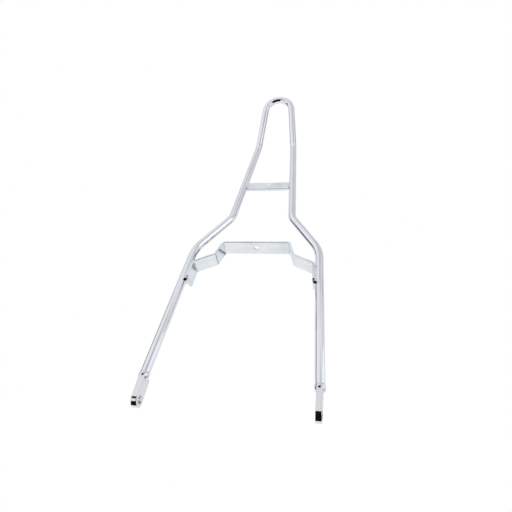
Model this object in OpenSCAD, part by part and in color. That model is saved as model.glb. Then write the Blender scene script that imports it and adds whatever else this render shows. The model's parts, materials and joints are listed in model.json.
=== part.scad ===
// Sissy bar: a backrest hoop bent from one round bar, with two foot plates and two flat straps welded in.
// The origin is the middle of the foot bolts' common axis. X runs along that axis, Z runs up the hoop,
// and the top leans towards -Y, the back. All welded pieces lie flush with one plane on that side.

/* [Round bar] */
// Diameter of the round bar
bar_d = 12.7; // [10:0.1:15]
// Height of the level cut end of the bar above the foot bolts
bar_end_z = 30; // [26:1:40]
// Diameter or thickness that bar and strips lose where they are bent
bend_loss = 0.02; // [0.01:0.005:0.04]

/* [Legs] */
// Distance between the two foot plates, middle to middle
foot_spread = 220; // [200:1:250]
// Distance between the legs' centrelines at the knee bends
knee_spread = 197; // [180:1:215]
// Height of the knee bends above the foot bolts
leg_h = 254; // [230:1:300]
// Bend radius of the knees, to the bar's centreline
knee_r = 65; // [40:1:80]

/* [Waist and uprights] */
// Distance between centrelines at the waist bends
waist_spread = 101; // [90:1:120]
// Rise of the sloping stretch from knee to waist
slope_h = 74; // [65:1:90]
// Bend radius of the waist
waist_r = 32; // [20:1:45]
// Height of the uprights, from the waist bends to the neck bends
upright_h = 209; // [170:1:260]
// Distance between centrelines at the neck bends
neck_spread = 69; // [60:1:80]
// Bend radius of the neck
neck_r = 45; // [25:1:70]

/* [Leaning top] */
// Angle by which the top leans back from the uprights
top_lean = 25; // [5:1:40]
// Length of the leaning top, from the neck to the crown's centreline
top_len = 113; // [90:1:160]
// Bend radius of the crown
crown_r = 26.5; // [20:0.5:29]

/* [Foot plates] */
// Width of a foot plate, and diameter of its rounded end
foot_w = 19; // [16:0.5:25]
// Thickness of a foot plate
foot_t = 7.9; // [5:0.1:9.5]
// Diameter of the bolt hole in a foot plate
foot_hole_d = 10.3; // [6:0.1:12]
// Rounding of a foot plate's long edges
foot_edge_r = 0.8; // [0.3:0.1:1.5]

/* [Fender strap] */
// Width of the strip that bridges the fender
strap_w = 25.4; // [18:0.1:30]
// Thickness of that strip
strap_t = 3.2; // [2.5:0.1:5]
// Length of the raised middle between its two bends
strap_flat = 105; // [90:1:115]
// Rise of the steep step beside the raised middle
step_rise = 26; // [15:1:35]
// Sideways reach of the steep step
step_reach = 8.7; // [4:0.1:14]
// Rise of the sloping wing between step and leg
wing_rise = 16; // [8:1:24]
// Depth of the tab's upper bend below the knee
tab_below_knee = 30.8; // [26:0.1:50]
// Length of the tab from that bend to its end
tab_len = 33.2; // [24:0.1:50]
// Rounding of the tab's corners
tab_corner_r = 5; // [1:0.5:8]
// Bend radius of the strip, to the middle of its thickness
strap_bend_r = 5; // [4:0.5:7]
// Diameter of the hole for the fender bolt
fender_hole_d = 8.7; // [5:0.1:12]
// Rounding of the long edges of both strips
strap_edge_r = 0.6; // [0.3:0.1:1.2]

/* [Cross strap] */
// Width of the strip between the uprights
cross_w = 18; // [14:0.5:25]
// Thickness of that strip
cross_t = 4.8; // [3:0.1:6]
// Height of its middle above the waist bends
cross_above_waist = 84; // [40:1:110]
// Diameter of the hole for the backrest bolt
pad_hole_d = 7; // [4:0.1:10]

/* [Welds] */
// How far the foot weld stands proud of the bar
collar_bulge = 0.6; // [0.3:0.1:1.2]
// Length of the foot weld above the bar's end
collar_up = 6; // [4:0.5:9]
// Length of the foot weld below the bar's end
collar_down = 4.5; // [3:0.5:6]
// Radius of the weld beads under the tabs
tab_bead_r = 3; // [2:0.1:3.5]
// How far each of those beads reaches round the leg, to either side of its middle
tab_bead_reach = 7.5; // [5:0.1:9]
// Radius of the weld seam that fills the groove between leg and tab
tab_seam_r = 2.4; // [1.8:0.1:2.4]
// Radius of the weld beads at the cross strap
cross_bead_r = 2.4; // [1.5:0.1:3]
// Gap left between tab and leg before welding
tab_gap = 0.1; // [0:0.05:0.3]

/* [Hidden] */
$fn = 96;
// What a section loses where it is drawn, which is nothing outside a bend
$loss = 0;

bar_r = bar_d / 2;
// The plane at the back with which the bar, the foot plates and the fender strap lie flush
flush_y = -foot_w / 2;
bar_y = flush_y + bar_r;
strap_y = flush_y + strap_w / 2;

waist_z = leg_h + slope_h;
neck_z = waist_z + upright_h;
cross_z = waist_z + cross_above_waist;

// Each straight run reaches this far into the bends next to it
bend_lap = 0.1;

// The crown is an arc in the leaning plane, and the sides of the top are tangent to it
lean_up = [0, -sin(top_lean), cos(top_lean)];
crown_rise = top_len - crown_r;
crown_centre = [0, bar_y, neck_z] + crown_rise * lean_up;
crown_taper = atan(neck_spread / 2 / crown_rise) - asin(crown_r / norm([neck_spread / 2, crown_rise]));
crown_start = crown_centre + crown_r * (cos(crown_taper) * [1, 0, 0] + sin(crown_taper) * lean_up);
into_crown = cos(crown_taper) * lean_up - sin(crown_taper) * [1, 0, 0];

// Centreline corners of the right half of the bar, from foot to crown, with their bend radii
foot_point = [foot_spread / 2, bar_y, bar_end_z];
knee_point = [knee_spread / 2, bar_y, leg_h];
bar_path = [
    foot_point - bar_r * unit(knee_point - foot_point),
    knee_point,
    [waist_spread / 2, bar_y, waist_z],
    [neck_spread / 2, bar_y, neck_z],
    crown_start + bend_lap * into_crown
];
bar_bends = [0, knee_r, waist_r, neck_r, 0];
leg_run = 0;
upright_run = 2;

// Directions along and square to the right leg, in the hoop's plane
leg_up = heading(bar_path, leg_run);
leg_out = cross([0, 1, 0], leg_up);

// Centreline corners of the right half of the fender strap, from the tab's end to the raised middle
tab_offset = bar_r + tab_gap + strap_t / 2;
tab_top_z = leg_h - tab_below_knee;
tab_top = leg_at(tab_top_z) - tab_offset * leg_out + (strap_y - bar_y) * [0, 1, 0];
half_strap = [
    tab_top - tab_len * leg_up,
    tab_top,
    [strap_flat / 2 + step_reach, strap_y, tab_top.z + wing_rise],
    [strap_flat / 2, strap_y, tab_top.z + wing_rise + step_rise]
];
strap_path = concat(half_strap, [for (i = [len(half_strap) - 1 : -1 : 0]) across_middle(half_strap[i])]);
strap_bends = [for (i = [0 : len(strap_path) - 1]) i == 0 || i == len(strap_path) - 1 ? 0 : strap_bend_r];
strap_z = half_strap[3].z;

// The middle of a tab bead lies this far off the leg's surface, and this far below the tab's end
tab_bead_off = tab_bead_r / 6;
tab_bead_drop = tab_bead_r / 3;

function unit(v) = v / norm(v);
function across_middle(p) = [-p.x, p.y, p.z];
function heading(path, i) = unit(path[i + 1] - path[i]);
function turn(path, i) = acos(heading(path, i - 1) * heading(path, i));
function setback(path, bends, i) = bends[i] * tan(turn(path, i) / 2);
function trim(path, bends, i) = bends[i] == 0 ? 0 : setback(path, bends, i) - bend_lap;
function point_at_z(path, i, z) = path[i] + (path[i + 1] - path[i]) * (z - path[i].z) / (path[i + 1].z - path[i].z);
function leg_at(z) = point_at_z(bar_path, leg_run, z);
function upright_at(z) = point_at_z(bar_path, upright_run, z);

// Puts children's x, y and z axes along two given directions and their cross product
module place(x_axis, y_axis, at) {
    z_axis = cross(x_axis, y_axis);
    multmatrix([
        [x_axis.x, y_axis.x, z_axis.x, at.x],
        [x_axis.y, y_axis.y, z_axis.y, at.y],
        [x_axis.z, y_axis.z, z_axis.z, at.z],
        [0, 0, 0, 1]
    ]) children();
}

// Straight run i of a bent bar, shortened by the bends at its two ends
module straight(path, bends, i) {
    along = heading(path, i);
    side = unit(cross([0, 1, 0], along));
    start = trim(path, bends, i);
    run_l = norm(path[i + 1] - path[i]) - start - trim(path, bends, i + 1);
    place(side, cross(along, side), path[i] + start * along)
        linear_extrude(run_l) children();
}

// Bend i of a bent bar, as a piece of a revolve about the bend's own centre
module bend(path, bends, i) {
    $loss = bend_loss;
    before = heading(path, i - 1);
    after = heading(path, i);
    inward = unit(after - before * (after * before));
    start = path[i] - setback(path, bends, i) * before;
    place(-inward, before, start + bends[i] * inward)
        rotate_extrude(angle = turn(path, i))
            translate([bends[i], 0]) children();
}

// A bar with the 2D section of its children, bent along a path
module bent_bar(path, bends) {
    for (i = [0 : len(path) - 2])
        straight(path, bends, i) children();
    for (i = [1 : len(path) - 2])
        bend(path, bends, i) children();
}

module bar_section() {
    circle(d = bar_d - $loss);
}

// Section of a flat strip with softened edges: thickness along x, width along y
module strip_section(thick, wide, edge_r) {
    t = thick - $loss;
    w = wide - $loss;
    square([t, w - 2 * edge_r], center = true);
    square([t - 2 * edge_r, w], center = true);
    for (sx = [-1, 1], sy = [-1, 1])
        translate([sx * (t / 2 - edge_r), sy * (w / 2 - edge_r)]) circle(edge_r);
}

// Everything of its children above the level saw cut at the right leg's lower end
module sawn_level() {
    difference() {
        children();
        translate([foot_spread / 2 - bar_d, bar_y - bar_d, bar_end_z - 2 * bar_d])
            cube(2 * bar_d);
    }
}

module half_hoop() {
    sawn_level() bent_bar(bar_path, bar_bends) bar_section();
}

module crown() {
    $loss = bend_loss;
    translate(crown_centre)
        rotate([90 + top_lean, 0, 0])
            rotate([0, 0, crown_taper])
                rotate_extrude(angle = 180 - 2 * crown_taper)
                    translate([crown_r, 0]) bar_section();
}

module main_hoop() {
    color("gainsboro") {
        half_hoop();
        mirror([1, 0, 0]) half_hoop();
        crown();
    }
}

module foot_section() {
    strip_section(foot_t, foot_w, foot_edge_r);
}

// The plate's lower end: half a disc with the same softened edge
module foot_end() {
    rotate([0, 90, 0])
        rotate([0, 0, -90])
            rotate_extrude(angle = 180)
                intersection() {
                    rotate(90) foot_section();
                    translate([0, -foot_t]) square([foot_w, 2 * foot_t]);
                }
}

// The right-hand foot plate: a strip with a rounded, drilled end
module foot_plate() {
    difference() {
        translate([foot_spread / 2, 0, 0]) {
            linear_extrude(bar_end_z) foot_section();
            foot_end();
        }
        translate([foot_spread / 2 - foot_t, 0, 0])
            rotate([0, 90, 0]) cylinder(d = foot_hole_d, h = 2 * foot_t);
    }
}

module right_foot() {
    color("gainsboro") foot_plate();
}

module left_foot() {
    color("gainsboro") mirror([1, 0, 0]) foot_plate();
}

module strap_section() {
    strip_section(strap_t, strap_w, strap_edge_r);
}

// What is ground off the two corners at the right tab's end
module tab_corners() {
    translate(half_strap[0])
        for (side = [0, 1])
            mirror([0, side, 0])
                place([0, 1, 0], leg_up, [0, -strap_w / 2, 0])
                    linear_extrude(2 * strap_t, center = true) corner_waste(tab_corner_r);
}

// What rounding takes off a square corner at the origin
module corner_waste(r) {
    difference() {
        translate([-1, -1]) square(r + 1);
        translate([r, r]) circle(r);
    }
}

module fender_strap() {
    color("lightsteelblue") difference() {
        bent_bar(strap_path, strap_bends) strap_section();
        tab_corners();
        mirror([1, 0, 0]) tab_corners();
        translate([0, strap_y, strap_z - strap_t])
            cylinder(d = fender_hole_d, h = 2 * strap_t);
    }
}

// The strip between the uprights runs into the bar at both ends and is coped to fit round it
module cross_strap() {
    color("lightsteelblue") difference() {
        translate([-upright_at(cross_z).x, bar_y, cross_z])
            rotate([0, 90, 0])
                linear_extrude(2 * upright_at(cross_z).x)
                    rotate(90) strip_section(cross_t, cross_w, strap_edge_r);
        for (m = [0, 1])
            mirror([m, 0, 0]) straight(bar_path, bar_bends, upright_run) bar_section();
        translate([0, bar_y - cross_t, cross_z])
            rotate([-90, 0, 0]) cylinder(d = pad_hole_d, h = 2 * cross_t);
    }
}

// A bead of weld with round ends, centred on its middle and running along local z
module bead(r, l) {
    cylinder(r = r, h = l - 2 * r, center = true);
    for (s = [-1, 1])
        translate([0, 0, s * (l / 2 - r)]) sphere(r);
}

// Outline of the foot weld beside the bar's axis: a barrel with a rounded lower rim and a thin upper toe
module collar_outline() {
    collar_r = bar_r + collar_bulge;
    rim_r = collar_down / 2;
    shoulder = collar_up / 3;
    polygon([
        [0, -collar_down], [collar_r - rim_r, -collar_down], [collar_r - rim_r, -rim_r], [collar_r, -rim_r],
        [collar_r, shoulder], [bar_r, collar_up], [0, collar_up]
    ]);
    translate([collar_r - rim_r, -collar_down + rim_r]) circle(rim_r);
}

// The weld between bar and foot plate runs all the way round
module foot_weld() {
    difference() {
        place(leg_out, [0, 1, 0], foot_point)
            rotate_extrude() collar_outline();
        sawn_level() straight(bar_path, bar_bends, leg_run) bar_section();
        foot_plate();
    }
}

module right_foot_weld() {
    color("silver") foot_weld();
}

module left_foot_weld() {
    color("silver") mirror([1, 0, 0]) foot_weld();
}

// Section of the seam in the groove between leg and tab, with the leg's axis at the origin
module seam_section() {
    intersection() {
        translate([bar_r + tab_gap, bar_r / 2]) circle(tab_seam_r);
        translate([0, bar_r / 2 - tab_seam_r / 2]) square([bar_r + tab_gap + strap_edge_r, bar_r]);
    }
}

// A bead round the inner side of the leg under the lower end of the tab, and a seam up beside the tab
module tab_weld() {
    arc_r = bar_r + tab_bead_off;
    difference() {
        place(-leg_out, [0, -1, 0], leg_at(half_strap[0].z) - tab_bead_drop * leg_up)
            union() {
                intersection() {
                    rotate_extrude() translate([arc_r, 0]) circle(tab_bead_r);
                    translate([arc_r, 0, 0]) sphere(tab_bead_reach);
                }
                linear_extrude(tab_bead_drop + tab_len - strap_bend_r) seam_section();
            }
        straight(bar_path, bar_bends, leg_run) bar_section();
        difference() {
            straight(strap_path, strap_bends, 0) strap_section();
            tab_corners();
        }
    }
}

module right_tab_weld() {
    color("silver") tab_weld();
}

module left_tab_weld() {
    color("silver") mirror([1, 0, 0]) tab_weld();
}

// A bead along the right end of the cross strap, on its back face (side -1) or its front face (side 1)
module cross_weld(side) {
    upright_up = heading(bar_path, upright_run);
    reach = sqrt(bar_r * bar_r - cross_t * cross_t / 4);
    difference() {
        place(cross([0, 1, 0], upright_up), [0, 1, 0],
              upright_at(cross_z) + [-reach, side * cross_t / 2, 0])
            bead(cross_bead_r, cross_w);
        straight(bar_path, bar_bends, upright_run) bar_section();
        translate([0, bar_y - cross_t / 2, cross_z - cross_w / 2])
            cube([upright_at(cross_z).x, cross_t, cross_w]);
    }
}

module right_cross_weld_back() {
    color("silver") cross_weld(-1);
}

module right_cross_weld_front() {
    color("silver") cross_weld(1);
}

module left_cross_weld_back() {
    color("silver") mirror([1, 0, 0]) cross_weld(-1);
}

module left_cross_weld_front() {
    color("silver") mirror([1, 0, 0]) cross_weld(1);
}

main_hoop();
left_foot();
right_foot();
fender_strap();
cross_strap();
left_foot_weld();
right_foot_weld();
left_tab_weld();
right_tab_weld();
left_cross_weld_back();
left_cross_weld_front();
right_cross_weld_back();
right_cross_weld_front();
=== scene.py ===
# %% [markdown]
# # A chrome sissy bar
# The real thing is a passenger's backrest frame: one round steel bar bent into a tall hoop, two drilled
# foot plates, a stepped strap that bolts to the fender, and a small cross strap, all welded together and
# chrome plated. Chrome has hardly any colour of its own, so this lesson is about two things: clean,
# smooth shapes, and a studio that gives the metal something to reflect.

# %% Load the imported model
import json
import math

import bpy
from mathutils import Matrix, Vector

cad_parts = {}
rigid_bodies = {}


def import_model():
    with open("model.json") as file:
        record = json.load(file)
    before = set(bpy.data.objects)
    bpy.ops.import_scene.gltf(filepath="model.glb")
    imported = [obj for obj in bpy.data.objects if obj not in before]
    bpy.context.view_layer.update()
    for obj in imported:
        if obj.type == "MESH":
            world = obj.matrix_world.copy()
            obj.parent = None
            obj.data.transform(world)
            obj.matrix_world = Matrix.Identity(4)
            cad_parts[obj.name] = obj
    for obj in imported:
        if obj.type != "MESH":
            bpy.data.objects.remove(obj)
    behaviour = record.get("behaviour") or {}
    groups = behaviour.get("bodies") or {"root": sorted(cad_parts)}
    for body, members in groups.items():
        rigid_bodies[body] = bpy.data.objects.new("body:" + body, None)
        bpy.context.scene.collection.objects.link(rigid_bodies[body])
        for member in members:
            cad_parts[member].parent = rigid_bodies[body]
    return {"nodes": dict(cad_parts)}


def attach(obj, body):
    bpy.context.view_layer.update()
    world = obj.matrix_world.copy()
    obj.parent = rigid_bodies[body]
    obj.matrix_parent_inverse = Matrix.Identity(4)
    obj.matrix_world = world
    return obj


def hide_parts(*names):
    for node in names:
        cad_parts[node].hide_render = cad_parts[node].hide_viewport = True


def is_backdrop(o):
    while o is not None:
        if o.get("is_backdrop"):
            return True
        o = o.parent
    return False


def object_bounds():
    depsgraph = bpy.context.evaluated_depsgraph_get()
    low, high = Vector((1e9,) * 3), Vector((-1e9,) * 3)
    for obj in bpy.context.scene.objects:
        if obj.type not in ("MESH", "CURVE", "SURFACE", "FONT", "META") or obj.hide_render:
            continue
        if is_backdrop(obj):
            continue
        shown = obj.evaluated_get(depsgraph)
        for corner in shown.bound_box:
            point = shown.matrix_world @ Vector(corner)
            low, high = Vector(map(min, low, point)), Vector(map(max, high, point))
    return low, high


for start_object in list(bpy.data.objects):
    bpy.data.objects.remove(start_object)

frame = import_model()
cad_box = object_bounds()
print("pieces:", sorted(frame["nodes"]))
print("size in metres:", [round(high - low, 4) for low, high in zip(*cad_box)])

# %% [markdown]
# ## Camera
# The bar stands upright in its own frame, but it was photographed lying on its front, from beyond its
# feet. In the bar's frame that means a camera low behind the feet, looking up along the hoop. Its place
# and direction came from fitting the bar's known outline to the picture, and a camera is most easily set
# from three directions: where it looks, what is up, and the cross product of the two.

# %% Camera
MM = 0.001
CAMERA_AT = Vector((135.7, -481.5, -212.5)) * MM
LOOK = Vector((-0.1973, 0.7119, 0.6740)).normalized()
UP = Vector((-0.0120, -0.6892, 0.7245))
SENSOR_WIDTH = 36.0
LENS = 30.85
CLIP_START = 0.01

camera_data = bpy.data.cameras.new("camera")
camera_data.sensor_width = SENSOR_WIDTH
camera_data.lens = LENS
camera_data.clip_start = CLIP_START
camera = bpy.data.objects.new("camera", camera_data)
bpy.context.scene.collection.objects.link(camera)
right = LOOK.cross(UP).normalized()
turned = Matrix((right, right.cross(LOOK), -LOOK)).transposed()
camera.matrix_world = Matrix.Translation(CAMERA_AT) @ turned.to_4x4()
bpy.context.scene.camera = camera
bpy.context.scene.view_settings.view_transform = "Standard"
print("camera", tuple(round(v, 3) for v in camera.location), "lens", LENS)

# %% [markdown]
# ## A helper for nodes
# Every material, the world and the Geometry Nodes below are node trees. Making a node, setting it up and
# wiring its inputs is always the same few lines, so they are written once.


# %% Node helper
def add_node(tree, kind, inputs=None, **settings):
    """Adds a node, sets its properties, and fills its inputs with values or links."""
    made = tree.nodes.new(kind)
    for name, value in settings.items():
        setattr(made, name, value)
    for name, value in (inputs or {}).items():
        socket = made.inputs[name]
        if isinstance(value, bpy.types.NodeSocket):
            tree.links.new(value, socket)
        else:
            socket.default_value = value
    return made


def add_math(tree, operation, *values):
    """A Math node's result, from numbers and sockets."""
    return add_node(tree, "ShaderNodeMath", dict(enumerate(values)), operation=operation).outputs[0]


def mix_colours(tree, factor, first, second):
    """The colour between two colours; a Mix node has its colour sockets at places 6 and 7."""
    return add_node(tree, "ShaderNodeMix", {0: factor, 6: first, 7: second}, data_type="RGBA").outputs[2]


def add_ramp(tree, factor, stops, interpolation="EASE"):
    """A Color Ramp's colour, from (position, colour) pairs."""
    made = add_node(tree, "ShaderNodeValToRGB", {"Fac": factor})
    ramp = made.color_ramp
    ramp.interpolation = interpolation
    while len(ramp.elements) < len(stops):
        ramp.elements.new(1.0)
    for element, (position, colour) in zip(ramp.elements, stops):
        element.position = position
        element.color = colour
    return made.outputs["Color"]

# %% [markdown]
# ## The studio
# A chrome bar is a long mirror: what it looks like is decided by the room. The world is plain white to
# the camera, and a quiet studio to everything that reflects. The photographed bar lay on a white table,
# which here is everything in front of it (+Y), and had a pale ceiling behind it (-Y). Along the horizon
# between the two runs a darker band, which draws the thin grey lines along the bar's edges. A few soft
# panels of other brightness are added on top: each is a direction, a radius and a level, and they make
# the long stripes.

# %% World
WHITE = (1.0, 1.0, 1.0, 1.0)
LAVENDER = 0.075
# Green falls short of blue by this share of what red does
GREEN_SHARE = 0.75


def grey(level, blue=LAVENDER):
    """A grey with less red, and a little less green, than blue."""
    return (level * (1 - blue), level * (1 - GREEN_SHARE * blue), level, 1.0)


# Level against height above the table: -1 is straight into it, 1 is straight up from it
WALLS = [
    (-1.0, 0.86),
    (-0.6, 0.86),
    (-0.2, 0.82),
    (-0.06, 0.74),
    (0.02, 0.70),
    (0.12, 0.70),
    (0.3, 0.80),
    (0.7, 0.86),
    (1.0, 0.86),
]
# Soft panels: azimuth from +Z towards +X, elevation off the table, radius, softness (degrees), and level
PANELS = {
    "window": (-64, 40, 14, 10, 0.95),
    "left wall": (-60, 0, 6, 5, 0.10),
    "left corner": (-82, -6, 14, 4, 0.01),
    "far wall": (16, 33, 7, 13, 0.60),
    "far corner": (36, -6, 12, 10, 0.64),
    "dull ceiling": (50, 66, 12, 8, 0.50),
    "softbox": (84, 46, 9, 3, 1.90),
    "right corner": (60, 6, 7, 11, 0.34),
    "right wall": (98, 0, 17, 6, 0.30),
    "door behind": (-118, 6, 24, 8, 0.10),
    "shadow under the strap": (93, -44, 8, 5, 0.34),
}

world = bpy.data.worlds.new("studio")
bpy.context.scene.world = world
world.use_nodes = True
room = world.node_tree
room.nodes.clear()
towards = add_node(room, "ShaderNodeTexCoord").outputs["Generated"]
along_y = add_node(room, "ShaderNodeSeparateXYZ", {"Vector": towards}).outputs["Y"]
height = add_math(room, "MULTIPLY", along_y, -1.0)
half_up = add_math(room, "MULTIPLY_ADD", height, 0.5, 0.5)
colour = add_ramp(room, half_up, [(0.5 + at / 2, grey(level)) for at, level in WALLS], "LINEAR")
for azimuth, elevation, radius, softness, level in PANELS.values():
    turn, lift = math.radians(azimuth), math.radians(elevation)
    aim = (math.sin(turn) * math.cos(lift), -math.sin(lift), math.cos(turn) * math.cos(lift))
    facing = add_node(
        room, "ShaderNodeVectorMath", {0: towards, 1: aim}, operation="DOT_PRODUCT"
    ).outputs["Value"]
    cover = add_node(
        room,
        "ShaderNodeMapRange",
        {
            "Value": facing,
            "From Min": math.cos(math.radians(radius + softness)),
            "From Max": math.cos(math.radians(radius)),
        },
        interpolation_type="SMOOTHSTEP",
    ).outputs["Result"]
    colour = mix_colours(room, cover, colour, grey(level))
seen = add_node(room, "ShaderNodeLightPath").outputs
mirrored = add_math(room, "MAXIMUM", seen["Is Glossy Ray"], seen["Is Transmission Ray"])
reflected = add_node(room, "ShaderNodeBackground", {"Color": colour, "Strength": 1.0}).outputs[0]
plain = add_node(room, "ShaderNodeBackground", {"Color": WHITE, "Strength": 1.0}).outputs[0]
mixed = add_node(room, "ShaderNodeMixShader", {0: mirrored, 1: plain, 2: reflected}).outputs[0]
add_node(room, "ShaderNodeOutputWorld", {"Surface": mixed})
print("panels:", len(PANELS), "world nodes:", len(room.nodes))

# %% [markdown]
# ## Floor
# The floor lies well below the bar, because this camera looks up from beneath it. It is only a pale, matt
# plane, but a real floor is never of one tone, so a soft noise changes it a little from place to place.
# The same paint, with other tones, makes the cloth of the cards in the next step.

# %% Floor
FLOOR_Z = -0.70
FLOOR_SIZE = 8.0
FLOOR_TONES = (grey(0.87, 0.0), grey(0.90, 0.0))
FLOOR_CLOUDS = 6.0
CLOUD_DETAIL = 4.0
CLOUD_STOPS = (0.3, 0.7)
MATT = 0.9
SATIN = 0.5


def flat_card(name, corners):
    """A rectangle through four corners, in metres."""
    mesh = bpy.data.meshes.new(name)
    mesh.from_pydata(corners, [], [(0, 1, 2, 3)])
    card = bpy.data.objects.new(name, mesh)
    bpy.context.scene.collection.objects.link(card)
    card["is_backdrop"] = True
    return card


def plain_paint(name, tones, clouds, gloss=SATIN):
    """A matt paint with a faint, cloudy change of tone. Without gloss, it can be a dead black."""
    material = bpy.data.materials.new(name)
    material.use_nodes = True
    tree = material.node_tree
    place = add_node(tree, "ShaderNodeTexCoord").outputs["Object"]
    cloud = add_node(
        tree, "ShaderNodeTexNoise", {"Vector": place, "Scale": clouds, "Detail": CLOUD_DETAIL}
    ).outputs["Fac"]
    surface = tree.nodes["Principled BSDF"]
    surface.inputs["Roughness"].default_value = MATT
    surface.inputs["Specular IOR Level"].default_value = gloss
    tree.links.new(add_ramp(tree, cloud, list(zip(CLOUD_STOPS, tones))), surface.inputs["Base Color"])
    return material


half = FLOOR_SIZE / 2
floor = flat_card("floor", [(x * half, y * half, FLOOR_Z) for x, y in ((-1, -1), (1, -1), (1, 1), (-1, 1))])
floor.data.materials.append(plain_paint("floor_paint", FLOOR_TONES, FLOOR_CLOUDS))
print("floor at", FLOOR_Z, "m, across", FLOOR_SIZE, "m")

# %% [markdown]
# ## Flags and cards
# The photographed chrome also reflects dark things that stood close by. They show as the black ends of
# the foot plates, the black arc under the crown and the dark spots on the collars. Black cards, which a
# photo studio calls flags, do that here: a large one stands behind the camera, and one hangs over the
# feet. A small shade hangs close to the fender strap, and a grey card dims what the upper bars reflect.
# Two pale cards beside the feet do the opposite. They give their own light, so that their level is exact.
# Only reflections find any of these: the camera doesn't see them, and they cast no shadow.

# %% Flags and cards
CLOTH_CLOUDS = 20.0
FLAG_TONES = (grey(0.004, 0.0), grey(0.010, 0.0))
STANDING_Z = -0.45
STANDING_FLAG = [(-0.40, 0.22), (-0.40, -1.75), (0.98, -1.75), (0.98, 0.22)]
HANGING_Y = -0.90
HANGING_FLAG = [(-0.60, 0.32), (0.30, 0.32), (0.30, STANDING_Z), (-0.50, STANDING_Z)]
SHADE_TONES = (grey(0.16, 0.1), grey(0.24, 0.1))
SHADE_Z = 0.275
SHADE = [(-0.06, 0.010), (0.02, 0.010), (0.02, 0.046), (-0.06, 0.046)]
GREY_CARD_TONES = (grey(0.60), grey(0.66))
GREY_CARD_Y = -0.32
GREY_CARD = [(0.06, 0.45), (0.25, 0.45), (0.25, 0.70), (0.06, 0.70)]
PALE_CARD_X = 0.60
PALE_CARD_NEAR, PALE_CARD_FAR = 0.10, -0.50
# Lowest and highest point, and level
PALE_CARDS = {"bounce_card": (0.02, 0.43, 1.05), "dim_card": (0.43, 0.60, 0.74)}


def only_in_reflections(card):
    """Hides a card from the camera, and keeps it from casting shadow or tinting matt surfaces."""
    card.visible_camera = False
    card.visible_shadow = False
    card.visible_diffuse = False


flag_cloth = plain_paint("flag_cloth", FLAG_TONES, CLOTH_CLOUDS, gloss=0.0)
shade_cloth = plain_paint("shade_cloth", SHADE_TONES, CLOTH_CLOUDS)
grey_cloth = plain_paint("grey_cloth", GREY_CARD_TONES, CLOTH_CLOUDS)
for name, corners, cloth in (
    ("standing_flag", [(x, y, STANDING_Z) for x, y in STANDING_FLAG], flag_cloth),
    ("hanging_flag", [(x, HANGING_Y, z) for x, z in HANGING_FLAG], flag_cloth),
    ("shade", [(x, y, SHADE_Z) for x, y in SHADE], shade_cloth),
    ("grey_card", [(x, GREY_CARD_Y, z) for x, z in GREY_CARD], grey_cloth),
):
    flag = flat_card(name, corners)
    flag.data.materials.append(cloth)
    only_in_reflections(flag)

for name, (low, high, level) in PALE_CARDS.items():
    outline = ((PALE_CARD_NEAR, low), (PALE_CARD_FAR, low), (PALE_CARD_FAR, high), (PALE_CARD_NEAR, high))
    card = flat_card(name, [(PALE_CARD_X, y, z) for y, z in outline])
    glow = bpy.data.materials.new(name + "_glow")
    glow.use_nodes = True
    glow.node_tree.nodes.clear()
    lit = add_node(glow.node_tree, "ShaderNodeEmission", {"Color": grey(level), "Strength": 1.0})
    add_node(glow.node_tree, "ShaderNodeOutputMaterial", {"Surface": lit.outputs[0]})
    card.data.materials.append(glow)
    only_in_reflections(card)
print("flags at z", STANDING_Z, "and y", HANGING_Y, "with", len(PALE_CARDS), "pale cards")

# %% [markdown]
# ## Chrome
# Chrome is a metal with a very even, faintly blue reflection. What makes it look real is what is wrong
# with it: the polished steel under the plating is never quite flat, so reflections waver, and hands leave
# a haze that is rougher in some places than in others. Both come from noise in the piece's own
# coordinates. Each finish below is this one with other numbers: longer streaks on the brushed strip,
# deeper lumps on the welds.

# %% Chrome finish
SMEAR_SCALE, SMEAR_DETAIL = 35.0, 5.0
GRAIN_DETAIL, GRAIN_ROUGHNESS = 6.0, 0.6
SWELL_SCALE, SWELL_DETAIL = 60.0, 1.0
TINT_STOPS = (0.30, 0.65)


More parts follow.
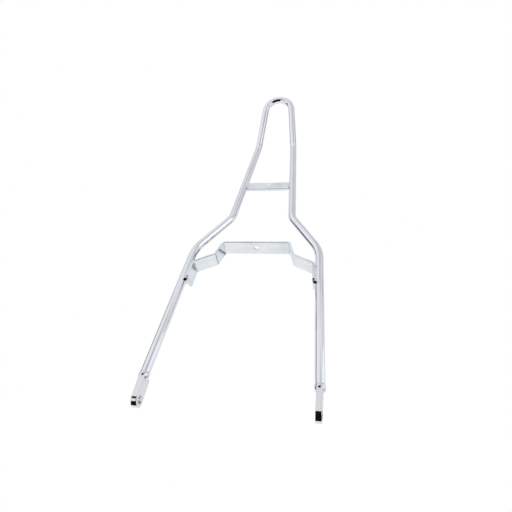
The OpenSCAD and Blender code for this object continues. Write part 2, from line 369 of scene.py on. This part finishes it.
def chrome(name, tint, haze, waver, grain, stretch, grain_depth):
    """A plated finish. Haze is two roughnesses, stretch turns grain into streaks, and depths are in mm."""
    material = bpy.data.materials[name]
    material.use_nodes = True
    tree = material.node_tree
    tree.nodes.clear()
    place = add_node(tree, "ShaderNodeTexCoord").outputs["Object"]

    smear = add_node(
        tree, "ShaderNodeTexNoise", {"Vector": place, "Scale": SMEAR_SCALE, "Detail": SMEAR_DETAIL}
    ).outputs["Fac"]
    streaked = add_node(tree, "ShaderNodeMapping", {"Vector": place, "Scale": stretch}).outputs["Vector"]
    lines = add_node(
        tree,
        "ShaderNodeTexNoise",
        {"Vector": streaked, "Scale": grain, "Detail": GRAIN_DETAIL, "Roughness": GRAIN_ROUGHNESS},
    ).outputs["Fac"]
    swell = add_node(
        tree, "ShaderNodeTexNoise", {"Vector": place, "Scale": SWELL_SCALE, "Detail": SWELL_DETAIL}
    ).outputs["Fac"]

    low, high = haze
    hazy = add_math(tree, "MULTIPLY_ADD", smear, high - low, low)
    rough = add_math(tree, "MULTIPLY_ADD", lines, (high - low) / 2, hazy)
    half_smear = add_math(tree, "MULTIPLY", smear, 0.5)
    patches = add_math(tree, "MULTIPLY_ADD", lines, 0.5, half_smear)
    colour = add_ramp(tree, patches, list(zip(TINT_STOPS, tint)))
    broad = add_node(tree, "ShaderNodeBump", {"Height": swell, "Strength": 1.0, "Distance": waver * MM})
    fine = add_node(
        tree,
        "ShaderNodeBump",
        {"Height": lines, "Strength": 1.0, "Distance": grain_depth * MM, "Normal": broad.outputs["Normal"]},
    )
    metal = add_node(
        tree,
        "ShaderNodeBsdfPrincipled",
        {"Base Color": colour, "Roughness": rough, "Normal": fine.outputs["Normal"], "Metallic": 1.0},
    )
    add_node(tree, "ShaderNodeOutputMaterial", {"Surface": metal.outputs["BSDF"]})
    print(name, "nodes:", len(tree.nodes))
    return material


# %% Finishes
NO_STRETCH = (1.0, 1.0, 1.0)
ALONG_WIDTH = (0.04, 1.0, 0.04)
ALONG_HEIGHT = (1.0, 1.0, 0.05)
FINISHES = {
    "bar_chrome": {
        "tint": (grey(0.86, 0.02), grey(0.94, 0.02)),
        "haze": (0.01, 0.06),
        "waver": 0.025,
        "grain": 400.0,
        "stretch": ALONG_HEIGHT,
        "grain_depth": 0.0004,
    },
    "plate_chrome": {
        "tint": (grey(0.78, 0.0), grey(0.87, 0.0)),
        "haze": (0.03, 0.10),
        "waver": 0.03,
        "grain": 500.0,
        "stretch": ALONG_HEIGHT,
        "grain_depth": 0.003,
    },
    "strap_chrome": {
        "tint": ((0.72, 0.765, 0.785, 1.0), (0.93, 0.965, 0.985, 1.0)),
        "haze": (0.09, 0.19),
        "waver": 0.03,
        "grain": 520.0,
        "stretch": ALONG_WIDTH,
        "grain_depth": 0.003,
    },
    "weld_chrome": {
        "tint": (grey(0.74, 0.03), grey(0.92, 0.02)),
        "haze": (0.03, 0.12),
        "waver": 0.10,
        "grain": 700.0,
        "stretch": NO_STRETCH,
        "grain_depth": 0.01,
    },
}
finished = {name: chrome(name, **finish) for name, finish in FINISHES.items()}
bar_chrome, weld_chrome = finished["bar_chrome"], finished["weld_chrome"]

# %% [markdown]
# ## Painted shade in the tab welds
# The bead under each tab of the fender strap has a small black spot on the side of the camera. It is
# painted shade, standing in for a shadowed pocket that reflects only dark. It is only a few millimetres
# wide, so it is painted rather than modelled: the finish turns black inside a ball around a point, and a
# little noise tears the ball's soft edge. The bar is symmetric, so the point is given once, and the
# material reads x without its sign.

# %% Painted shade
# The painted shade's centre, radius and soft edge in mm, its black, and the noise that tears its edge
PAINTED_SHADE_AT = Vector((95.2, -8.3, 186.4))
PAINTED_SHADE_R, PAINTED_SHADE_EDGE = 2.3, 0.9
PAINTED_SHADE_BLACK = grey(0.010, 0.0)
PAINTED_SHADE_NOISE_SCALE, PAINTED_SHADE_NOISE_DETAIL = 900.0, 1.0

weld_tree = weld_chrome.node_tree
metal = next(node for node in weld_tree.nodes if node.type == "BSDF_PRINCIPLED")
plated = metal.inputs["Base Color"].links[0].from_socket
place = add_node(weld_tree, "ShaderNodeTexCoord").outputs["Object"]
part = add_node(weld_tree, "ShaderNodeSeparateXYZ", {"Vector": place}).outputs
either_side = add_node(
    weld_tree,
    "ShaderNodeCombineXYZ",
    {"X": add_math(weld_tree, "ABSOLUTE", part["X"]), "Y": part["Y"], "Z": part["Z"]},
).outputs["Vector"]
away = add_node(
    weld_tree, "ShaderNodeVectorMath", {0: either_side, 1: PAINTED_SHADE_AT * MM}, operation="DISTANCE"
).outputs["Value"]
torn = add_node(
    weld_tree,
    "ShaderNodeTexNoise",
    {"Vector": place, "Scale": PAINTED_SHADE_NOISE_SCALE, "Detail": PAINTED_SHADE_NOISE_DETAIL},
).outputs["Fac"]
torn_away = add_math(weld_tree, "MULTIPLY_ADD", torn, PAINTED_SHADE_EDGE * MM, away)
in_painted_shade = add_node(
    weld_tree,
    "ShaderNodeMapRange",
    {"Value": torn_away, "From Min": (PAINTED_SHADE_R + PAINTED_SHADE_EDGE) * MM, "From Max": PAINTED_SHADE_R * MM},
    interpolation_type="SMOOTHSTEP",
).outputs["Result"]
# Painted shade: the weld's base colour is mixed to black inside the ball
weld_tree.links.new(mix_colours(weld_tree, in_painted_shade, plated, PAINTED_SHADE_BLACK), metal.inputs["Base Color"])
print("pit at", tuple(PAINTED_SHADE_AT), "mm, radius", PAINTED_SHADE_R)

# %% [markdown]
# ## The hoop's path
# The hoop is one bar, so its shape is one line: straight runs with a rounded corner at each bend, and a
# larger arc over the top. Only the right half is written down, and the left half is its mirror. Rounding
# a corner takes a little geometry: the arc starts and ends at the same distance from the corner, and its
# centre lies on the line that halves the corner's angle.

# %% Bends
BAR_D = 12.7
FOOT = Vector((110.0, -3.15, 30.0))
KNEE = Vector((98.5, -3.15, 254.0))
WAIST = Vector((50.5, -3.15, 328.0))
NECK = Vector((34.5, -3.15, 537.0))
TOP_LEAN = math.radians(25.0)
TOP_LEN = 113.0
CROWN_R = 26.5
KNEE_R, WAIST_R, NECK_R = 65.0, 32.0, 45.0
STEP = math.radians(1.5)


def rounded(before, corner, after, radius):
    """Points of the arc that rounds a corner."""
    into = (corner - before).normalized()
    out = (after - corner).normalized()
    turn = into.angle(out)
    reach = radius * math.tan(turn / 2)
    start = corner - reach * into
    inward = (out - into * out.dot(into)).normalized()
    steps = max(2, round(turn / STEP))
    return [
        start + radius * (math.sin(turn * k / steps) * into + (1 - math.cos(turn * k / steps)) * inward)
        for k in range(steps + 1)
    ]


# %% Crown
lean_up = Vector((0.0, -math.sin(TOP_LEAN), math.cos(TOP_LEAN)))
across = Vector((1.0, 0.0, 0.0))
rise = TOP_LEN - CROWN_R
crown_centre = Vector((0.0, NECK.y, NECK.z)) + rise * lean_up
taper = math.atan(NECK.x / rise) - math.asin(CROWN_R / math.hypot(NECK.x, rise))
crown_start = crown_centre + CROWN_R * (math.cos(taper) * across + math.sin(taper) * lean_up)
crown_steps = round((math.pi - 2 * taper) / STEP)
crown = [
    crown_centre + CROWN_R * (math.cos(a) * across + math.sin(a) * lean_up)
    for a in (taper + (math.pi - 2 * taper) * k / crown_steps for k in range(crown_steps + 1))
]

right_half = [
    FOOT,
    *rounded(FOOT, KNEE, WAIST, KNEE_R),
    *rounded(KNEE, WAIST, NECK, WAIST_R),
    *rounded(WAIST, NECK, crown_start, NECK_R),
]
left_half = [Vector((-p.x, p.y, p.z)) for p in reversed(right_half)]
hoop_path = [p * MM for p in right_half + crown + left_half]
hoop_length = sum((b - a).length for a, b in zip(hoop_path, hoop_path[1:]))
print("hoop path:", len(hoop_path), "points,", round(hoop_length, 3), "m of bar")

# %% [markdown]
# ## Sweeping the bar
# Geometry Nodes sweep a circle along the path, which is how the bending machine sees the bar too: one
# section, carried along a line. The tree has its sizes as named inputs, so another bar size is one number
# away. Its result is turned into a plain mesh, which then stands for the plain solid.


# %% Geometry Nodes helpers
def new_tree(name, sizes):
    """A Geometry Nodes tree with geometry in and out, and a named input for each size."""
    tree = bpy.data.node_groups.new(name, "GeometryNodeTree")
    face = tree.interface
    face.new_socket("Geometry", in_out="INPUT", socket_type="NodeSocketGeometry")
    face.new_socket("Geometry", in_out="OUTPUT", socket_type="NodeSocketGeometry")
    for label, kind in sizes.items():
        face.new_socket(label, in_out="INPUT", socket_type="NodeSocket" + kind)
    return tree, tree.nodes.new("NodeGroupInput").outputs


def finish_tree(tree, geometry, material):
    """Ends a tree in plain, smooth geometry with a material."""
    smooth = add_node(tree, "GeometryNodeSetShadeSmooth", {"Geometry": geometry}).outputs[0]
    plain = add_node(tree, "GeometryNodeRealizeInstances", {"Geometry": smooth}).outputs[0]
    dressed = add_node(tree, "GeometryNodeSetMaterial", {"Geometry": plain, "Material": material})
    tree.links.new(dressed.outputs[0], tree.nodes.new("NodeGroupOutput").inputs[0])


def path_object(name, lines, closed):
    """A curve object with a line through each list of points. Each line has a relative size."""
    curve = bpy.data.curves.new(name, "CURVE")
    curve.dimensions = "3D"
    for points, relative_size in lines:
        line = curve.splines.new("POLY")
        line.points.add(len(points) - 1)
        for point, at in zip(line.points, points):
            point.co = (*at, 1.0)
            point.radius = relative_size
        line.use_cyclic_u = closed
    made = bpy.data.objects.new(name, curve)
    bpy.context.scene.collection.objects.link(made)
    return made


def grown(name, lines, tree, sizes, closed=False):
    """The plain mesh object that a tree grows on a path."""
    path = path_object(name + "_path", lines, closed)
    modifier = path.modifiers.new("shape", "NODES")
    modifier.node_group = tree
    sockets = {item.name: item.identifier for item in tree.interface.items_tree if item.in_out == "INPUT"}
    for label, value in sizes.items():
        modifier[sockets[label]] = value
    drawn = path.evaluated_get(bpy.context.evaluated_depsgraph_get())
    mesh = bpy.data.meshes.new_from_object(drawn)
    bpy.data.objects.remove(path)
    piece = bpy.data.objects.new(name, mesh)
    mesh.name = name
    bpy.context.scene.collection.objects.link(piece)
    return piece


# %% Hoop
BAR_SIDES = 72
# The sweep is finer than the plain mesh, so it is drawn a hair thinner, to stay inside the same box
INSIDE = 0.03

sweep, given = new_tree("swept_bar", {"Bar diameter": "Float", "Sides": "Int"})
round_section = add_node(
    sweep,
    "GeometryNodeCurvePrimitiveCircle",
    {"Resolution": given["Sides"], "Radius": add_math(sweep, "DIVIDE", given["Bar diameter"], 2.0)},
    mode="RADIUS",
).outputs["Curve"]
bar = add_node(
    sweep,
    "GeometryNodeCurveToMesh",
    {"Curve": given["Geometry"], "Profile Curve": round_section, "Fill Caps": True},
).outputs[0]
finish_tree(sweep, bar, bar_chrome)

hoop = grown("hoop", [(hoop_path, 1.0)], sweep, {"Bar diameter": (BAR_D - INSIDE) * MM, "Sides": BAR_SIDES})
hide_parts("main_hoop")
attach(hoop, "root")
print("hoop:", len(hoop.data.polygons), "faces")

# %% [markdown]
# ## Welds
# A weld is laid as a row of overlapping drops, each freezing a little before the next, so its surface is
# a row of ripples. Here a bead is a circle swept along a short path, with the path's radius made to swell
# and shrink once per drop, rounded at its ends like a drop, and lumpy from a little noise. The same tree
# makes all eight.

# %% Weld tree
PATH_STEP = 0.25
BEAD_SIDES = 28
LUMP_SCALE, LUMP_DETAIL = 500.0, 2.0
NOISE_MIDDLE = 0.5

bead_tree, given = new_tree(
    "weld_bead",
    {
        "Radius": "Float",
        "Flatness": "Float",
        "Ripple length": "Float",
        "Ripple depth": "Float",
        "End rounding": "Float",
        "Lumps": "Float",
        "Seed": "Float",
    },
)
fine_path = add_node(
    bead_tree,
    "GeometryNodeResampleCurve",
    {"Curve": given["Geometry"], "Length": PATH_STEP * MM},
    mode="LENGTH",
).outputs["Curve"]
spot = add_node(bead_tree, "GeometryNodeSplineParameter").outputs
phase = add_math(bead_tree, "DIVIDE", spot["Length"], given["Ripple length"])
wave = add_math(bead_tree, "SINE", add_math(bead_tree, "MULTIPLY", phase, math.pi))
drop = add_math(bead_tree, "ABSOLUTE", wave)
valley = add_math(bead_tree, "SUBTRACT", 1.0, given["Ripple depth"])
ripple = add_math(bead_tree, "MULTIPLY_ADD", drop, given["Ripple depth"], valley)
bead_length = add_node(bead_tree, "GeometryNodeSplineLength").outputs["Length"]
to_far_end = add_math(bead_tree, "SUBTRACT", bead_length, spot["Length"])
to_end = add_math(bead_tree, "MINIMUM", spot["Length"], to_far_end)
short_by = add_math(bead_tree, "SUBTRACT", 1.0, add_math(bead_tree, "DIVIDE", to_end, given["Radius"]))
into_end = add_math(bead_tree, "MAXIMUM", short_by, 0.0)
rounding = add_math(bead_tree, "MULTIPLY", into_end, into_end)
sunk = add_math(bead_tree, "MULTIPLY", rounding, given["End rounding"])
ends = add_math(bead_tree, "SQRT", add_math(bead_tree, "SUBTRACT", 1.0, sunk))
line_size = add_node(bead_tree, "GeometryNodeInputRadius").outputs[0]
size_here = add_math(bead_tree, "MULTIPLY", line_size, add_math(bead_tree, "MULTIPLY", ripple, ends))
swollen = add_node(
    bead_tree, "GeometryNodeSetCurveRadius", {"Curve": fine_path, "Radius": size_here}
).outputs[0]
ring = add_node(
    bead_tree,
    "GeometryNodeCurvePrimitiveCircle",
    {"Resolution": BEAD_SIDES, "Radius": given["Radius"]},
    mode="RADIUS",
).outputs["Curve"]
squash = add_node(
    bead_tree, "ShaderNodeCombineXYZ", {"X": given["Flatness"], "Y": 1.0, "Z": 1.0}
).outputs[0]
section = add_node(bead_tree, "GeometryNodeTransform", {"Geometry": ring, "Scale": squash}).outputs[0]
radius_here = add_node(bead_tree, "GeometryNodeInputRadius").outputs[0]
bead_mesh = add_node(
    bead_tree,
    "GeometryNodeCurveToMesh",
    {"Curve": swollen, "Profile Curve": section, "Scale": radius_here, "Fill Caps": True},
).outputs[0]
lump_noise = add_node(
    bead_tree,
    "ShaderNodeTexNoise",
    {"W": given["Seed"], "Scale": LUMP_SCALE, "Detail": LUMP_DETAIL},
    noise_dimensions="4D",
).outputs["Fac"]
out_or_in = add_math(bead_tree, "SUBTRACT", lump_noise, NOISE_MIDDLE)
lump = add_math(bead_tree, "MULTIPLY", out_or_in, given["Lumps"])
outward = add_node(
    bead_tree,
    "ShaderNodeVectorMath",
    {0: add_node(bead_tree, "GeometryNodeInputNormal").outputs[0], "Scale": lump},
    operation="SCALE",
).outputs[0]
lumpy = add_node(bead_tree, "GeometryNodeSetPosition", {"Geometry": bead_mesh, "Offset": outward})
finish_tree(bead_tree, lumpy.outputs[0], weld_chrome)
print("weld tree nodes:", len(bead_tree.nodes))

# %% [markdown]
# ## Where the welds run
# Three kinds of path are needed: a closed ring round the foot of each leg, an arc round the inner side of
# the leg under each tab of the fender strap, with a seam up the groove behind the tab, and a short
# straight line at each end and side of the cross strap. Each is worked out for the right-hand side, and
# mirrored for the left. All sizes are in millimetres.

# %% Weld paths
bar_r = BAR_D / 2
leg_up = (KNEE - FOOT).normalized()
leg_out = Vector((0, 1, 0)).cross(leg_up)
upright_up = (NECK - WAIST).normalized()


def on_line(start, direction, z):
    """The point at a given height on a line."""
    return start + direction * ((z - start.z) / direction.z)


def arc_round_leg(height, radius, half_angle, steps):
    """Points round the right leg, centred on its inner side."""
    middle = on_line(FOOT, leg_up, height)
    angles = [half_angle * (2 * k / steps - 1) for k in range(steps + 1)]
    return [middle + radius * (math.cos(a) * -leg_out + math.sin(a) * Vector((0, -1, 0))) for a in angles]


COLLAR_Z, COLLAR_R = 30.7, 6.95
COLLAR_HALF_H, COLLAR_FLATNESS = 5.2, 0.42
COLLAR_STEPS = 72
TAB_END_Z, TAB_LEN = 189.63, 33.2
TAB_BEAD_R, TAB_BEAD_DROP, TAB_BEAD_OUT = 3.0, 1.0, 0.5
TAB_BEAD_HALF_ANGLE, TAB_BEAD_STEPS = math.radians(68), 24
TAB_SEAM_R, TAB_SEAM_STOP = 2.4, 5.0
CROSS_Z, CROSS_W, CROSS_T = 412.0, 18.0, 4.8
CROSS_BEAD_R, CROSS_BEAD_INSET = 2.4, 1.0

# The ring's last point is its first, so it is dropped
collar_middle_r = COLLAR_R - COLLAR_HALF_H * COLLAR_FLATNESS
collar_ring = arc_round_leg(COLLAR_Z, collar_middle_r, math.pi, COLLAR_STEPS)[:-1]
tab_bead_z, tab_arc_r = TAB_END_Z - TAB_BEAD_DROP, bar_r + TAB_BEAD_OUT
tab_arc = arc_round_leg(tab_bead_z, tab_arc_r, TAB_BEAD_HALF_ANGLE, TAB_BEAD_STEPS)
seam_off = Vector((0, -bar_r / 2, 0)) - bar_r * leg_out
tab_end = on_line(FOOT, leg_up, TAB_END_Z)
tab_seam = [tab_end + seam_off + leg_up * along for along in (0.0, TAB_LEN / 2, TAB_LEN - TAB_SEAM_STOP)]
reach = math.sqrt(bar_r**2 - CROSS_T**2 / 4)
upright = on_line(WAIST, upright_up, CROSS_Z)
cross_lines = {
    side: [
        upright + Vector((-reach, sign * CROSS_T / 2, 0)) + upright_up * along
        for along in (CROSS_BEAD_INSET - CROSS_W / 2, 0.0, CROSS_W / 2 - CROSS_BEAD_INSET)
    ]
    for side, sign in (("back", -1), ("front", 1))
}

# %% Lay the welds
BEAD_SIZES = {
    "foot": {
        "Radius": COLLAR_HALF_H,
        "Flatness": COLLAR_FLATNESS,
        "Ripple length": 2.4,
        "Ripple depth": 0.03,
        "End rounding": 0.0,
        "Lumps": 0.06,
    },
    "tab": {
        "Radius": TAB_BEAD_R,
        "Flatness": 1.0,
        "Ripple length": 1.9,
        "Ripple depth": 0.03,
        "End rounding": 0.99,
        "Lumps": 0.06,
    },
    "cross": {
        "Radius": CROSS_BEAD_R,
        "Flatness": 1.0,
        "Ripple length": 1.7,
        "Ripple depth": 0.16,
        "End rounding": 0.95,
        "Lumps": 0.2,
    },
}
LENGTHS = ("Radius", "Ripple length", "Lumps")


def lay_bead(node, kind, lines, seed, closed=False):
    """Grows one bead, and puts it in the place of its plain solid."""
    sizes = {label: value * MM if label in LENGTHS else value for label, value in BEAD_SIZES[kind].items()}
    sizes["Seed"] = float(seed)
    if "left" in node:
        lines = [([Vector((-p.x, p.y, p.z)) for p in points], size) for points, size in lines]
    lines = [([p * MM for p in points], size) for points, size in lines]
    piece = grown(node + "_bead", lines, bead_tree, sizes, closed)
    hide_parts(node)
    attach(piece, "root")
    print(piece.name, len(piece.data.polygons), "faces")


for number, side in enumerate(("left", "right")):
    lay_bead(side + "_foot_weld", "foot", [(collar_ring, 1.0)], number, closed=True)
    lay_bead(side + "_tab_weld", "tab", [(tab_arc, 1.0), (tab_seam, TAB_SEAM_R / TAB_BEAD_R)], number)
    for face, line in cross_lines.items():
        lay_bead(f"{side}_cross_weld_{face}", "cross", [(line, 1.0)], number)

# %% [markdown]
# ## Check the size and finish
# The dressed model has to fill the same box as the plain solids. The change from one box to the other
# is printed, in millimetres.

# %% Finish
visual_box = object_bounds()
change = [round((v - c) / MM, 2) for a, b in zip(cad_box, visual_box) for c, v in zip(a, b)]
print("box change in mm:", change)
